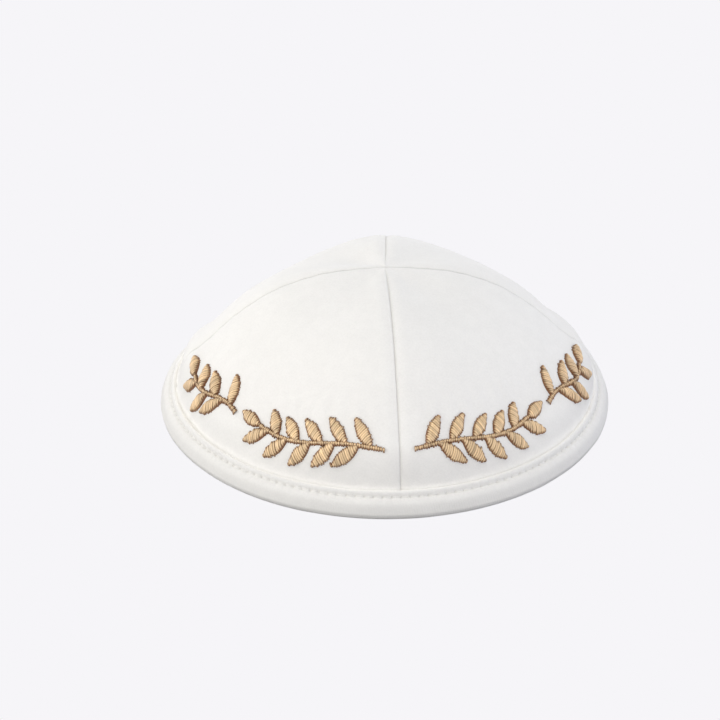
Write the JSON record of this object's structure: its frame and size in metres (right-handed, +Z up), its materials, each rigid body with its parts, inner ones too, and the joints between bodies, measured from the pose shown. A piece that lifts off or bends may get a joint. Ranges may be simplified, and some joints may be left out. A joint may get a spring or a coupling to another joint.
{
  "type": "kippah skullcap",
  "caption": "White cloth skullcap sewn from panels that meet at a crown point, with a folded binding round the rim and raised gold leaf embroidery low on the front.",
  "frame": {"origin": "on the resting plane under the crown, at the middle of the rim", "axes": "+Z up through the crown; the front seam faces -Y; +X is the wearer's left as they face -Y"},
  "size_m": [0.171, 0.171, 0.0572],
  "materials": {
    "panel_cloth": "matte napped cotton twill",
    "binding_cloth": "matte folded cloth strip, topstitched",
    "gold_thread": "satin-stitched rayon thread with a soft sheen"
  },
  "bodies": {
    "root": {"panel_front_left": "panel_cloth", "panel_front_right": "panel_cloth", "panel_back_right": "panel_cloth", "panel_back_left": "panel_cloth", "rim_binding": "binding_cloth", "embroidery_left_inner": "gold_thread", "embroidery_left_outer": "gold_thread", "embroidery_right_inner": "gold_thread", "embroidery_right_outer": "gold_thread"}
  },
  "joints": []
}
